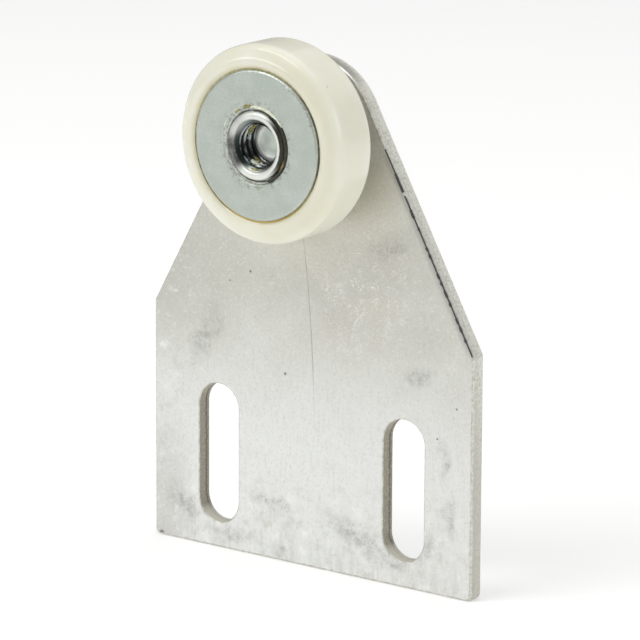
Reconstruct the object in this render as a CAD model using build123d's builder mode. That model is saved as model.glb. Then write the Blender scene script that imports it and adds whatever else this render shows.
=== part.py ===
"""Sliding door roller: a ball bearing nylon wheel on a slotted steel hanger plate.

Frame, in millimetres: X across the plate, Z up, and -Y towards the wheel. The origin is on the
plate's back face, the one that lies on the door, midway between the two slots.
"""

import math
import os

from build123d import *

os.makedirs("parts", exist_ok=True)

# Hanger plate, blanked from 1/8 inch sheet
PLATE_WIDTH = 76.2
PLATE_THICKNESS = 3.175
SIDE_HEIGHT = 47.6
CROWN_RADIUS = 14.7
SLOT_SPACING = 44.45
SLOT_WIDTH = 9.525
SLOT_LENGTH = 27.9
SLOT_HEIGHT = 19.1  # slot centres above the bottom edge
AXLE_HEIGHT = 66.8  # wheel axis above the slot centres
BOTTOM_CORNER_RADIUS = 1.2
SIDE_CORNER_RADIUS = 1.5
SHEARED_EDGE_RADIUS = 0.3

# Axle stud, 3/8-16 thread, 5/8 inch long, its head pressed flush into the back of the plate
THREAD_RADIUS = 4.247  # pitch radius of the thread
STUD_SHANK_RADIUS = 4.7625
STUD_HEAD_RADIUS = 6.2
STUD_HEAD_THICKNESS = 2.0
STUD_LENGTH = 15.875
STUD_POINT_CHAMFER = 0.75

# Jam nut that sets the wheel off the plate
NUT_ACROSS_FLATS = 14.288
NUT_THICKNESS = 5.556
NUT_CHAMFER_ANGLE = 30

# Wheel and its bearing
WHEEL_GAP = 6.2  # clear space from the plate to the wheel
WHEEL_WIDTH = 11.1
TREAD_RADIUS = 19.05
TREAD_REAR_ROUNDING = 1.1
TREAD_FRONT_ROUNDING = 2.4
SHIELD_RADIUS = 14.36
SHIELD_HOLE_RADIUS = 7.4
SHIELD_THICKNESS = 1.2
SHIELD_EDGE_RADIUS = 0.25
RACE_RADIUS = 14.8
RACE_LAND_RADIUS = 11.3
HUB_NECK_RADIUS = 6.5
HUB_LAND_RADIUS = 9.525
HUB_PROUD = 0.45  # hub's front end past the wheel's front face
HUB_END_GAP = 0.35  # hub's wide middle to each shield
HUB_MOUTH_RADIUS = 4.9
HUB_LIP_RADIUS = 0.5
BALL_RADIUS = 2.38125
BALL_COUNT = 13
BALL_CIRCLE_RADIUS = 10.4
BALL_CLEARANCE = 0.08

# Depths are measured forwards, towards -Y, from the back face of the plate
NUT_FRONT = PLATE_THICKNESS + NUT_THICKNESS
WHEEL_REAR = PLATE_THICKNESS + WHEEL_GAP
WHEEL_FRONT = WHEEL_REAR + WHEEL_WIDTH
WHEEL_MIDDLE = (WHEEL_REAR + WHEEL_FRONT) / 2
RACE_REAR = WHEEL_REAR + SHIELD_THICKNESS
RACE_FRONT = WHEEL_FRONT - SHIELD_THICKNESS
HUB_FRONT = WHEEL_FRONT + HUB_PROUD
HUB_LAND_REAR = RACE_REAR + HUB_END_GAP
HUB_LAND_FRONT = RACE_FRONT - HUB_END_GAP
GROOVE_RADIUS = BALL_RADIUS + BALL_CLEARANCE

AXLE = Axis((0, 0, AXLE_HEIGHT), (0, -1, 0))
# Sketches of outlines lie square to the axle; sections of turned pieces hold radius and depth
BACK_FACE = Plane(origin=(0, 0, 0), x_dir=(1, 0, 0), z_dir=(0, -1, 0))
AXLE_FACE = Plane(origin=(0, 0, AXLE_HEIGHT), x_dir=(1, 0, 0), z_dir=(0, -1, 0))
SECTION = Plane(origin=(0, 0, AXLE_HEIGHT), x_dir=(1, 0, 0), z_dir=(0, 0, -1))


def save(piece, name):
    """Label a finished piece and write it to its own STEP file."""
    piece.label = name
    export_step(piece, f"parts/{name}.step")


# Hanger plate: straight foot, sloping shoulders that run tangent into a round crown
with BuildPart() as mounting_plate:
    with BuildSketch(BACK_FACE) as outline:
        with Locations((0, SIDE_HEIGHT / 2 - SLOT_HEIGHT)):
            Rectangle(PLATE_WIDTH, SIDE_HEIGHT)
        with Locations((0, AXLE_HEIGHT)):
            Circle(CROWN_RADIUS)
        make_hull()
        corners = outline.vertices().group_by(Axis.Z)
        fillet(corners[0], BOTTOM_CORNER_RADIUS)
        shoulders = outline.vertices().filter_by_position(
            Axis.Z, SIDE_HEIGHT - SLOT_HEIGHT - 1, SIDE_HEIGHT - SLOT_HEIGHT + 1
        )
        fillet(shoulders, SIDE_CORNER_RADIUS)
    extrude(amount=PLATE_THICKNESS)
    front_rim = mounting_plate.faces().sort_by(Axis.Y)[0].edges()
    fillet(front_rim, SHEARED_EDGE_RADIUS)
    with BuildSketch(BACK_FACE):
        with GridLocations(SLOT_SPACING, 0, 2, 1):
            SlotOverall(SLOT_LENGTH, SLOT_WIDTH, rotation=90)
    extrude(amount=PLATE_THICKNESS, mode=Mode.SUBTRACT)
    with BuildSketch(AXLE_FACE):
        Circle(STUD_SHANK_RADIUS)
    extrude(amount=PLATE_THICKNESS, mode=Mode.SUBTRACT)
    with BuildSketch(AXLE_FACE):
        Circle(STUD_HEAD_RADIUS)
    extrude(amount=STUD_HEAD_THICKNESS, mode=Mode.SUBTRACT)
save(mounting_plate.part, "mounting_plate")

# Axle stud: flush head in the back of the plate, shank through it, then the threaded end
with BuildPart() as axle_stud:
    with BuildSketch(SECTION):
        with BuildLine():
            Polyline(
                (0, 0),
                (STUD_HEAD_RADIUS, 0),
                (STUD_HEAD_RADIUS, STUD_HEAD_THICKNESS),
                (STUD_SHANK_RADIUS, STUD_HEAD_THICKNESS),
                (STUD_SHANK_RADIUS, PLATE_THICKNESS),
                (THREAD_RADIUS, PLATE_THICKNESS),
                (THREAD_RADIUS, STUD_LENGTH - STUD_POINT_CHAMFER),
                (THREAD_RADIUS - STUD_POINT_CHAMFER, STUD_LENGTH),
                (0, STUD_LENGTH),
                close=True,
            )
        make_face()
    revolve(axis=AXLE)
save(axle_stud.part, "axle_stud")

# Jam nut: a hexagon whose corners are turned off at both faces
with BuildPart() as jam_nut:
    with BuildSketch(AXLE_FACE.offset(PLATE_THICKNESS)):
        RegularPolygon(NUT_ACROSS_FLATS / 2, 6, major_radius=False, rotation=30)
        Circle(THREAD_RADIUS, mode=Mode.SUBTRACT)
    extrude(amount=NUT_THICKNESS)
    corner_radius = NUT_ACROSS_FLATS / 2 / math.cos(math.radians(30))
    face_radius = NUT_ACROSS_FLATS / 2 * 0.96
    corner_drop = (corner_radius - face_radius) * math.tan(math.radians(NUT_CHAMFER_ANGLE))
    with BuildSketch(SECTION):
        with BuildLine():
            Polyline(
                (0, PLATE_THICKNESS),
                (face_radius, PLATE_THICKNESS),
                (corner_radius, PLATE_THICKNESS + corner_drop),
                (corner_radius, NUT_FRONT - corner_drop),
                (face_radius, NUT_FRONT),
                (0, NUT_FRONT),
                close=True,
            )
        make_face()
    revolve(axis=AXLE, mode=Mode.INTERSECT)
save(jam_nut.part, "jam_nut")

# Hub: the inner race, turned in one piece with the threaded bore and the two necks
with BuildPart() as hub:
    with BuildSketch(SECTION):
        with BuildLine():
            mouth_depth = HUB_MOUTH_RADIUS - THREAD_RADIUS
            Polyline(
                (THREAD_RADIUS, NUT_FRONT),
                (HUB_NECK_RADIUS, NUT_FRONT),
                (HUB_NECK_RADIUS, HUB_LAND_REAR),
                (HUB_LAND_RADIUS, HUB_LAND_REAR),
                (HUB_LAND_RADIUS, HUB_LAND_FRONT),
                (HUB_NECK_RADIUS, HUB_LAND_FRONT),
                (HUB_NECK_RADIUS, HUB_FRONT),
                (HUB_MOUTH_RADIUS, HUB_FRONT),
                (THREAD_RADIUS, HUB_FRONT - mouth_depth),
                close=True,
            )
        make_face()
        with Locations((BALL_CIRCLE_RADIUS, WHEEL_MIDDLE)):
            Circle(GROOVE_RADIUS, mode=Mode.SUBTRACT)
    revolve(axis=AXLE)
    outer_lip = hub.edges().filter_by(GeomType.CIRCLE).group_by(Axis.Y)[0].sort_by(SortBy.RADIUS)[-1]
    fillet(outer_lip, HUB_LIP_RADIUS)
save(hub.part, "hub")

# Outer race: two rings that meet at the wheel's middle, each with half of the ball groove
for name, start, end in (
    ("outer_race_rear", RACE_REAR, WHEEL_MIDDLE),
    ("outer_race_front", WHEEL_MIDDLE, RACE_FRONT),
):
    with BuildPart() as race:
        with BuildSketch(SECTION):
            with Locations(((RACE_LAND_RADIUS + RACE_RADIUS) / 2, (start + end) / 2)):
                Rectangle(RACE_RADIUS - RACE_LAND_RADIUS, end - start)
            with Locations((BALL_CIRCLE_RADIUS, WHEEL_MIDDLE)):
                Circle(GROOVE_RADIUS, mode=Mode.SUBTRACT)
        revolve(axis=AXLE)
    save(race.part, name)

# Shields: blanked steel discs that close both faces of the bearing around the hub's necks
for name, start, outward in (
    ("shield_rear", WHEEL_REAR, Axis.Y),
    ("shield_front", RACE_FRONT, -Axis.Y),
):
    with BuildPart() as shield:
        with BuildSketch(AXLE_FACE.offset(start)):
            Circle(SHIELD_RADIUS)
            Circle(SHIELD_HOLE_RADIUS, mode=Mode.SUBTRACT)
        extrude(amount=SHIELD_THICKNESS)
        fillet(shield.faces().sort_by(outward)[-1].edges(), SHIELD_EDGE_RADIUS)
    save(shield.part, name)

# Tyre: nylon moulded round the outer race, with a lip at each face that holds a shield
with BuildPart() as tyre:
    with BuildSketch(SECTION) as tyre_section:
        with BuildLine():
            Polyline(
                (SHIELD_RADIUS, WHEEL_REAR),
                (TREAD_RADIUS, WHEEL_REAR),
                (TREAD_RADIUS, WHEEL_FRONT),
                (SHIELD_RADIUS, WHEEL_FRONT),
                (SHIELD_RADIUS, RACE_FRONT),
                (RACE_RADIUS, RACE_FRONT),
                (RACE_RADIUS, RACE_REAR),
                (SHIELD_RADIUS, RACE_REAR),
                close=True,
            )
        make_face()
        rim_corners = tyre_section.vertices().group_by(Axis.X)[-1].sort_by(-Axis.Y)
        fillet(rim_corners[0], TREAD_REAR_ROUNDING)
        fillet(rim_corners[-1], TREAD_FRONT_ROUNDING)
    revolve(axis=AXLE)
save(tyre.part, "tyre")

# Balls: a full ring with no cage, evenly spaced
for index in range(BALL_COUNT):
    angle = math.radians(90 + 360 / BALL_COUNT * index)
    centre = (BALL_CIRCLE_RADIUS * math.cos(angle), BALL_CIRCLE_RADIUS * math.sin(angle))
    with BuildPart() as ball:
        with Locations(AXLE_FACE.offset(WHEEL_MIDDLE).location * Location((*centre, 0))):
            Sphere(BALL_RADIUS)
    save(ball.part, f"ball_{index + 1:02d}")
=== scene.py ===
"""Sliding door roller: detailed pieces, materials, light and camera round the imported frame.

Sizes are in millimetres until a mesh is made, and the axes are the frame's: X across the plate,
Z up, -Y towards the wheel. A depth is measured forwards, towards -Y, from the plate's back face.
"""

import math

import bmesh
import bpy
import numpy as np
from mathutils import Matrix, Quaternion, Vector, noise
from mathutils.geometry import delaunay_2d_cdt


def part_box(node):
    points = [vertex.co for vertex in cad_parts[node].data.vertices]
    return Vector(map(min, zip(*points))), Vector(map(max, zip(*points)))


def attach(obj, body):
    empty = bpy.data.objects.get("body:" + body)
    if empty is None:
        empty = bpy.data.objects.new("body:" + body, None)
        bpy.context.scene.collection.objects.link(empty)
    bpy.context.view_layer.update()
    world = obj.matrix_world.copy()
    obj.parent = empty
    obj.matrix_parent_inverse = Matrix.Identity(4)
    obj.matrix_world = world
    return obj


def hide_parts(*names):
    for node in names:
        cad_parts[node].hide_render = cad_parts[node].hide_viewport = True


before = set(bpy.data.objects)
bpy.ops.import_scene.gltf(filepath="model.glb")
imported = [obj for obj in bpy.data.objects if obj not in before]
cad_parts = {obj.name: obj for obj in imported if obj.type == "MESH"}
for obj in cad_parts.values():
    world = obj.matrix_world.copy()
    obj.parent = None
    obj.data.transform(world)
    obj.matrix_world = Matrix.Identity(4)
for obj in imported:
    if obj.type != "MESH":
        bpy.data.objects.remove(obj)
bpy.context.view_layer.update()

MM = 0.001
TAU = 2 * math.pi


def cad_mm(node):
    """Lowest and highest corner of a CAD node, in millimetres."""
    low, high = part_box(node)
    return Vector(low) / MM, Vector(high) / MM


# ------------------------ sizes, read from the frame
PLATE_LOW, PLATE_HIGH = cad_mm("mounting_plate")
TYRE_LOW, TYRE_HIGH = cad_mm("tyre")
HUB_LOW, HUB_HIGH = cad_mm("hub")
STUD_LOW, STUD_HIGH = cad_mm("axle_stud")
SHIELD_LOW, SHIELD_HIGH = cad_mm("shield_front")

AXLE_Z = (TYRE_LOW.z + TYRE_HIGH.z) / 2
THICKNESS = -PLATE_LOW.y
HALF_WIDTH = PLATE_HIGH.x
TREAD_RADIUS = TYRE_HIGH.x
WHEEL_REAR = -TYRE_HIGH.y
WHEEL_FRONT = -TYRE_LOW.y
HUB_REAR = -HUB_HIGH.y
HUB_FRONT = -HUB_LOW.y
STUD_END = -STUD_LOW.y
STUD_HEAD_RADIUS = STUD_HIGH.x
SHIELD_RADIUS = SHIELD_HIGH.x
SHIELD_THICKNESS = SHIELD_HIGH.y - SHIELD_LOW.y
CROWN_RADIUS = PLATE_HIGH.z - AXLE_Z

# Sizes that the frame's boxes don't give; the tear is a groove on the sloping side towards +X, painted near
# black for its shade
TEAR_TOP = 66.0
TEAR_BREAK = 57.5
SIDE_TOP = PLATE_LOW.z + 47.6
BOTTOM_CORNER_RADIUS = 1.2
SIDE_CORNER_RADIUS = 1.5
SLOT_X = 22.225
SLOT_RADIUS = 4.7625
SLOT_STRAIGHT = 27.9 / 2 - SLOT_RADIUS
STUD_HEAD_THICKNESS = 2.0
STUD_SHANK_RADIUS = 4.7625
SHIELD_HOLE_RADIUS = 7.4
RACE_RADIUS = 14.8
HUB_NECK_RADIUS = 6.5
HUB_LIP_RADIUS = 0.62
HUB_LAND_RADIUS = 9.525
HUB_LAND_DEPTHS = (10.925, 18.925)
BALL_CIRCLE_RADIUS = 10.4
BALL_GROOVE_RADIUS = 2.46
THREAD_PITCH = 1.5875
THREAD_MAJOR = 4.74
THREAD_MINOR = 4.02


def tangent_normal(c1, r1, c2, r2):
    """Angle of the outward normal where two circles share an outer tangent, running anticlockwise."""
    run = Vector(c2) - Vector(c1)
    return math.atan2(run.y, run.x) - TAU / 4 + math.asin((r1 - r2) / run.length)


SLOPE = tangent_normal((HALF_WIDTH, SIDE_TOP), 0, (0, AXLE_Z), CROWN_RADIUS)


# ------------------------ mesh helpers
def link(name, data):
    """New object in the scene with that mesh, light or camera."""
    thing = bpy.data.objects.new(name, data)
    bpy.context.collection.objects.link(thing)
    return thing


def add_piece(name, mesh, body, slot, materials, replaces=()):
    """Link a finished mesh as a piece that rides on a body."""
    for material in materials:
        mesh.materials.append(material)
    piece = link(name, mesh)
    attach(piece, body)
    if replaces:
        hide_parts(*replaces)


def finish_mesh(mesh, sharp_degrees=35):
    """Merge doubles, turn faces outwards and smooth all but the sharp edges."""
    work = bmesh.new()
    work.from_mesh(mesh)
    bmesh.ops.remove_doubles(work, verts=work.verts, dist=1e-7)
    bmesh.ops.dissolve_degenerate(work, edges=work.edges, dist=1e-8)
    bmesh.ops.recalc_face_normals(work, faces=work.faces)
    work.to_mesh(mesh)
    work.free()
    mesh.shade_smooth()
    mesh.set_sharp_from_angle(angle=math.radians(sharp_degrees))


def lathe(name, rows, segments=256):
    """Turn a closed section about the axle.

    A row is (radius, depth) or (radius, depth, material index); the radius and the depth may be
    functions of the array of angles. The index counts for the band up to the next row.
    """
    angles = np.arange(segments) * TAU / segments
    points, bands = [], []
    for radius, depth, *index in rows:
        r = radius(angles) if callable(radius) else np.full(segments, float(radius))
        d = depth(angles) if callable(depth) else np.full(segments, float(depth))
        points.append(np.column_stack((r * np.cos(angles), -d, AXLE_Z + r * np.sin(angles))))
        bands.append(index[0] if index else 0)
    here = np.arange(len(rows) * segments).reshape(len(rows), segments)
    there = np.roll(here, -1, 0)
    faces = np.stack((here, np.roll(here, -1, 1), np.roll(there, -1, 1), there), -1).reshape(-1, 4)
    mesh = bpy.data.meshes.new(name)
    mesh.from_pydata((np.vstack(points) * MM).tolist(), [], faces.tolist())
    mesh.polygons.foreach_set("material_index", np.repeat(bands, segments))
    finish_mesh(mesh)
    return mesh


def arc(centre, radius, start, end, count):
    """Rows along an arc of a section; angles in degrees, 0 outwards and 90 forwards."""
    rows = []
    for step in range(count + 1):
        angle = math.radians(start + (end - start) * step / count)
        rows.append((centre[0] + radius * math.cos(angle), centre[1] + radius * math.sin(angle)))
    return rows


def thread_crest(depth, angles):
    """Height of a right-hand thread, 0 at its root and 1 on its crest."""
    flat, flank = 0.16, 0.68
    phase = (depth / THREAD_PITCH - angles / TAU) % 1
    return np.clip((np.abs(phase - 0.5) * 2 - flat) / flank, 0, 1)


def internal_thread(depth, chamfer):
    """Row of a threaded bore, opened out to the chamfer's radius at that depth."""
    height = THREAD_MAJOR - THREAD_MINOR
    return lambda angles: np.maximum(THREAD_MAJOR - thread_crest(depth, angles) * height, chamfer)


def external_thread(depth, limit):
    """Row of a threaded shank, turned down to the limit radius at that depth."""
    low, height = THREAD_MINOR - 0.12, THREAD_MAJOR - 0.06 - (THREAD_MINOR - 0.12)
    turned = depth + THREAD_PITCH / 2
    return lambda angles: np.minimum(low + thread_crest(turned, angles) * height, limit)


# ------------------------ material helpers
class Material:
    """A Principled material with short calls for its nodes; lengths are in millimetres."""

    def __init__(self, name, **values):
        self.material = bpy.data.materials.new(name)
        self.material.use_nodes = True
        self.tree = self.material.node_tree
        self.shader = self.tree.nodes["Principled BSDF"]
        self.set(**values)
        place = self.node("TexCoord", {}).outputs["Object"]
        self.place = self.node("VectorMath", {0: place, "Scale": 1 / MM}, operation="SCALE").outputs[0]

    def join(self, value, socket):
        """Link an output to a socket, or set the socket's value; a colour is given without its alpha."""
        if isinstance(value, bpy.types.NodeSocket):
            self.tree.links.new(value, socket)
        elif socket.type == "RGBA":
            socket.default_value = (*value, 1)
        else:
            socket.default_value = value

    def node(self, kind, inputs, **settings):
        """New node whose inputs, by number or by name, are joined to sockets or set to values."""
        node = self.tree.nodes.new("ShaderNode" + kind)
        for name, value in settings.items():
            setattr(node, name, value)
        for key, value in inputs.items():
            self.join(value, node.inputs[key])
        return node

    def set(self, **values):
        """Join or set the shader's inputs, and return the material."""
        for socket, value in values.items():
            self.join(value, self.shader.inputs[socket.replace("_", " ")])
        return self.material

    def math(self, operation, *values):
        return self.node("Math", dict(enumerate(values)), operation=operation).outputs[0]

    def times(self, *values):
        """Product of two or more values."""
        product = values[-1]
        for value in reversed(values[:-1]):
            product = self.math("MULTIPLY", value, product)
        return product

    def most(self, a, b):
        return self.math("MAXIMUM", a, b)

    def off(self, value, middle):
        """How far a value lies from the middle, either way."""
        return self.math("ABSOLUTE", self.math("SUBTRACT", value, middle))

    def vector(self, operation, *values):
        return self.node("VectorMath", dict(enumerate(values)), operation=operation)

    def axis(self, letter):
        return self.node("SeparateXYZ", {0: self.place}).outputs[letter]

    def stretch(self, x, y, z):
        return self.vector("MULTIPLY", self.place, (x, y, z)).outputs[0]

    def warp(self, size, reach):
        """The place, pushed about unevenly so that marks get ragged outlines."""
        push = self.node("TexNoise", {"Scale": 1 / size, "Detail": 4, "Vector": self.place})
        return self.vector("MULTIPLY_ADD", push.outputs["Color"], (2 * reach,) * 3, self.place).outputs[0]

    def noise(self, size, detail=3.0, roughness=0.55, distortion=0.0, place=None):
        """Noise whose features are about that size across."""
        inputs = {"Scale": 1 / size, "Detail": detail, "Roughness": roughness, "Distortion": distortion}
        return self.node("TexNoise", inputs | {"Vector": place or self.place}).outputs["Fac"]

    def cells(self, size):
        """Distance to the nearest of scattered points about that size apart."""
        return self.node("TexVoronoi", {"Scale": 1 / size, "Vector": self.place}).outputs["Distance"]

    def between(self, value, low, high, to_low=0.0, to_high=1.0):
        """Soft step of a value from low to high."""
        inputs = dict(enumerate((value, low, high, to_low, to_high)))
        return self.node("MapRange", inputs, interpolation_type="SMOOTHSTEP").outputs[0]

    def distance(self, point):
        return self.vector("DISTANCE", self.place, point).outputs["Value"]

    def ellipse(self, x, z, long, wide, degrees, place=None, shift=0.0):
        """1 in the middle of an ellipse on the plate's face, fading to 0 at its outline."""
        centre = (x + shift, -THICKNESS + shift, z + shift)
        move = self.vector("SUBTRACT", place or self.place, centre).outputs[0]
        inputs = {"Angle": math.radians(degrees), "Vector": move}
        turn = self.node("VectorRotate", inputs, rotation_type="Y_AXIS").outputs[0]
        shrink = self.vector("MULTIPLY", turn, (1 / long, 1 / wide, 1 / wide)).outputs[0]
        return self.between(self.vector("LENGTH", shrink).outputs["Value"], 1.0, 0.1)

    def mix(self, amount, a, b, share=1):
        """Colour a, going over to a share of colour b with the amount."""
        if share < 1:
            amount = self.times(amount, share)
        return self.node("Mix", {0: amount, 6: a, 7: b}, data_type="RGBA").outputs[2]

    def paint(self, amount, colour, share=1):
        """Lay a colour over the material's colour so far."""
        self.colour = self.mix(amount, self.colour, colour, share)

    def bump(self, height, distance, strength, under=None):
        """Bump of a height from 0 to 1 over a distance, on top of another bump."""
        inputs = {"Strength": strength, "Distance": distance * MM, "Height": height}
        if under is not None:
            inputs["Normal"] = under
        return self.node("Bump", inputs).outputs[0]

    def radius(self):
        """Distance from the axle."""
        x = self.axis("X")
        z = self.math("SUBTRACT", self.axis("Z"), AXLE_Z)
        return self.math("SQRT", self.math("ADD", self.times(x, x), self.times(z, z)))

    def round_axle(self, middle, half):
        """1 at an angle round the axle, fading to 0 half a span away; degrees from +X towards +Z."""
        turn = math.radians(middle)
        x = self.axis("X")
        z = self.math("SUBTRACT", self.axis("Z"), AXLE_Z)
        along = self.math("ADD", self.times(x, math.cos(turn)), self.times(z, math.sin(turn)))
        cosine = self.math("DIVIDE", along, self.radius())
        return self.between(cosine, math.cos(math.radians(half)), math.cos(math.radians(half * 0.4)))


def plate_material():
    """Dull rolled steel: fine speckle, soft clouds, sooty smudges, scuffs and a long faint scratch, with
    painted light paler towards the foot and painted shade round the wheel and next to the tear.
    """
    m = Material("plate_steel", Metallic=0.4, Specular_IOR_Level=0.4)
    light, mid, dark = (0.68, 0.685, 0.635), (0.61, 0.605, 0.545), (0.45, 0.45, 0.41)
    # tan is the colour of the painted shadow round the wheel
    tan = (0.86, 0.79, 0.64)
    x, z = m.axis("X"), m.axis("Z")
    front = m.between(m.axis("Y"), -1.5, -2.5)
    clouds = m.noise(11, detail=4)
    grain = m.noise(0.55, roughness=0.65)
    drawn = m.noise(1.1, roughness=0.6, place=m.stretch(1.8, 1, 0.3))
    m.colour = m.mix(m.between(clouds, 0.3, 0.7), light, mid)
    # painted light: the face paler towards the foot, for light thrown up by the floor
    m.paint(m.between(z, 40, 0, 0, 0.95), (0.85, 0.86, 0.835))
    # mask of the painted shadow on the plate round the wheel, patchy with the clouds
    painted_shade_near_wheel = m.times(m.between(m.radius(), 32, 16), m.between(clouds, 0.2, 0.6, 0.6, 1))
    m.paint(m.between(x, 4, 34, 0, 0.12), mid)
    shoulder = m.times(m.between(x, -12, -30), m.between(z, 12, 36))
    m.paint(shoulder, (0.52, 0.515, 0.46), 0.5)
    corner = m.times(m.between(x, -27, -34), m.between(z, 14, -8))
    m.paint(corner, (0.56, 0.56, 0.52), 0.5)
    # painted shade: tan shadow cast on the plate round the wheel
    m.paint(painted_shade_near_wheel, tan, 0.55)
    # painted shade: the face darker towards the top, the other end of the painted floor light
    m.paint(m.between(z, 34, 62, 0, 0.25), mid)
    m.paint(m.between(drawn, 0.5, 0.8, 0, 0.35), mid)
    m.paint(m.between(grain, 0.5, 0.75, 0, 0.3), dark)
    m.paint(m.between(grain, 0.46, 0.28, 0, 0.4), (0.9, 0.9, 0.86))
    low = m.most(m.between(z, 4, -12), m.between(x, -26, -38))
    blots = m.noise(3.4, detail=5, roughness=0.65)
    m.paint(m.times(low, m.between(blots, 0.5, 0.68, 0, 0.5)), mid)
    m.paint(m.times(low, m.between(blots, 0.46, 0.34, 0, 0.6)), (0.95, 0.95, 0.93))
    scuffed = m.ellipse(12, 37, 23, 17, 62)
    blush = m.times(scuffed, m.between(m.noise(5), 0.4, 0.62))
    m.paint(blush, (0.68, 0.62, 0.52), 0.4)
    curl = m.off(m.noise(2.0, roughness=0.6, distortion=1.6), 0.5)
    curl = m.times(m.between(curl, 0.05, 0.015), m.between(m.noise(3.2, detail=2), 0.44, 0.56))
    curl = m.times(curl, scuffed, front)
    flecks = m.between(m.noise(0.9, detail=4, roughness=0.7, distortion=1.5), 0.56, 0.64)
    flecks = m.times(flecks, scuffed, front)
    scuffs = m.most(curl, flecks)
    m.paint(scuffs, (0.92, 0.91, 0.84), 0.7)
    smudge, ragged = 0.0, m.warp(4.5, 3.0)
    for place in PLATE_SMUDGES:
        smudge = m.most(m.ellipse(*place, place=ragged, shift=3.0), smudge)
    dots = m.between(m.noise(1.3, detail=5, roughness=0.75), 0.42, 0.62)
    soot = m.times(smudge, m.math("MULTIPLY_ADD", dots, 0.42, 0.16))
    m.paint(soot, (0.32, 0.32, 0.3))
    streaks = m.noise(1.6, place=m.stretch(1, 1, 0.12))
    runs = m.times(m.between(streaks, 0.46, 0.7), m.between(z, -10, -18))
    m.paint(runs, dark, 0.25)
    across, up = math.cos(SLOPE), math.sin(SLOPE)
    off_tear = m.math("MULTIPLY_ADD", x, -across, HALF_WIDTH * across + SIDE_TOP * up)
    off_tear = m.math("MULTIPLY_ADD", z, -up, off_tear)
    # painted shade: the face darkens towards the groove of the tear
    painted_shade_by_tear = m.between(off_tear, 1.7, 0.5)
    painted_shade_by_tear = m.times(painted_shade_by_tear, m.between(z, 28, 31), m.between(z, TEAR_TOP, TEAR_TOP - 3))
    m.paint(m.times(painted_shade_by_tear, front), (0.3, 0.3, 0.28), 0.5)
    bow = m.math("MULTIPLY_ADD", m.math("MULTIPLY_ADD", z, -0.00177, 0.0226), z, 0.917)
    off_scratch = m.off(x, bow)
    scratch = m.times(m.between(off_scratch, 0.2, 0.04), m.between(z, 6, 24))
    scratch = m.times(scratch, m.between(drawn, 0.3, 0.6, 0.25, 0.6))
    m.paint(m.times(scratch, front), (0.3, 0.3, 0.29))
    pits = 0.0
    for x_pit, z_pit, size in PLATE_PITS:
        pits = m.most(m.between(m.distance((x_pit, -THICKNESS, z_pit)), size, size * 0.3), pits)
    m.paint(pits, (0.1, 0.1, 0.09), 0.85)
    rough = m.between(m.noise(3, detail=4), 0.3, 0.7, 0.4, 0.58)
    relief = m.bump(grain, 0.03, 0.6)
    relief = m.bump(m.noise(2.2, detail=4, roughness=0.6), 0.06, 0.6, under=relief)
    relief = m.bump(scuffs, 0.06, 0.6, under=relief)
    return m.set(Base_Color=m.colour, Roughness=rough, Normal=relief)


def rim_material():
    """Rolled-in rim of the blank: painted paler over the crown for its highlight, and smoother there; dull
    lower down.
    """
    m = Material("rolled_rim", Metallic=1.0)
    crown_highlight = m.between(m.axis("Z"), 76, 79)
    wear = m.between(m.noise(1.0, detail=4, roughness=0.65), 0.4, 0.6)
    dull = m.mix(wear, (0.56, 0.55, 0.5), (0.74, 0.73, 0.67))
    # painted highlight: the rim paler over the crown, where it faces up to the overhead light
    m.colour = m.mix(crown_highlight, dull, (0.8, 0.8, 0.77))
    return m.set(Base_Color=m.colour, Roughness=m.between(crown_highlight, 0, 1, 0.5, 0.24))


def torn_wall(m, sway):
    """Place in the sheet's thickness, 0 at the back and 1 in front but wandering, and its coarse tearing."""
    depth = m.times(m.axis("Y"), -1 / THICKNESS)
    wander = m.math("MULTIPLY_ADD", m.noise(1.6, place=m.stretch(1, 0.01, 1)), sway, depth)
    return wander, m.noise(0.45, detail=4, roughness=0.7)


def slot_material():
    """Wall of a punched slot: dark and greasy, with a torn line halfway back, painted paler at the foot
    where it faces up to the light.
    """
    m = Material("slot_wall", Metallic=0.35, Specular_IOR_Level=0.35)
    wander, tearing = torn_wall(m, 0.3)
    m.colour = m.mix(m.between(tearing, 0.4, 0.6), (0.47, 0.44, 0.36), (0.34, 0.32, 0.26))
    seam = m.between(m.off(wander, 0.47), 0.14, 0.03)
    m.paint(m.times(seam, m.between(tearing, 0.35, 0.6, 0.4, 0.9)), (0.14, 0.13, 0.1))
    # painted light: the foot of the wall, facing up, painted paler
    m.paint(m.between(m.axis("Z"), -11, -12.6, 0, 0.6), (0.8, 0.78, 0.7))
    return m.set(Base_Color=m.colour, Roughness=0.6, Normal=m.bump(tearing, 0.08, 0.8))


def sheared_material(name, shorn, torn, dark):
    """Wall left by the blanking die: a burnished band in front, then a line, then coarse tearing, with a
    painted dark reflection along the crown.
    """
    m = Material(name, Metallic=0.35, Specular_IOR_Level=0.35)
    wander, tearing = torn_wall(m, 0.5)
    drag = m.noise(0.5, place=m.stretch(1, 0.12, 1))
    glint = tuple(min(1.0, channel * 1.25) for channel in shorn)
    m.colour = m.mix(m.between(wander, 0.78, 0.86), torn, shorn)
    m.paint(m.between(tearing, 0.5, 0.64, 0, 0.7), dark)
    m.paint(m.between(tearing, 0.44, 0.34, 0, 0.7), glint)
    m.paint(m.between(drag, 0.5, 0.75, 0, 0.5), dark)
    seam = m.between(m.off(wander, 0.8), 0.06, 0.0, 0, 0.45)
    m.paint(seam, dark)
    m.paint(m.between(m.axis("Z"), 30, 0, 0, 0.6), dark)
    # painted reflection: the crown's edge face darker towards the front, where the burnished band reflects
    # dark surroundings
    crown_dark_reflection = m.times(m.between(m.axis("Z"), 75.5, 79.5), m.between(wander, 0.25, 0.75, 0.25, 1))
    m.paint(crown_dark_reflection, (0.2, 0.2, 0.17), 0.6)
    relief = m.bump(tearing, 0.08, 0.8)
    return m.set(Base_Color=m.colour, Roughness=m.between(tearing, 0.3, 0.7, 0.45, 0.7), Normal=relief)


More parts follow.
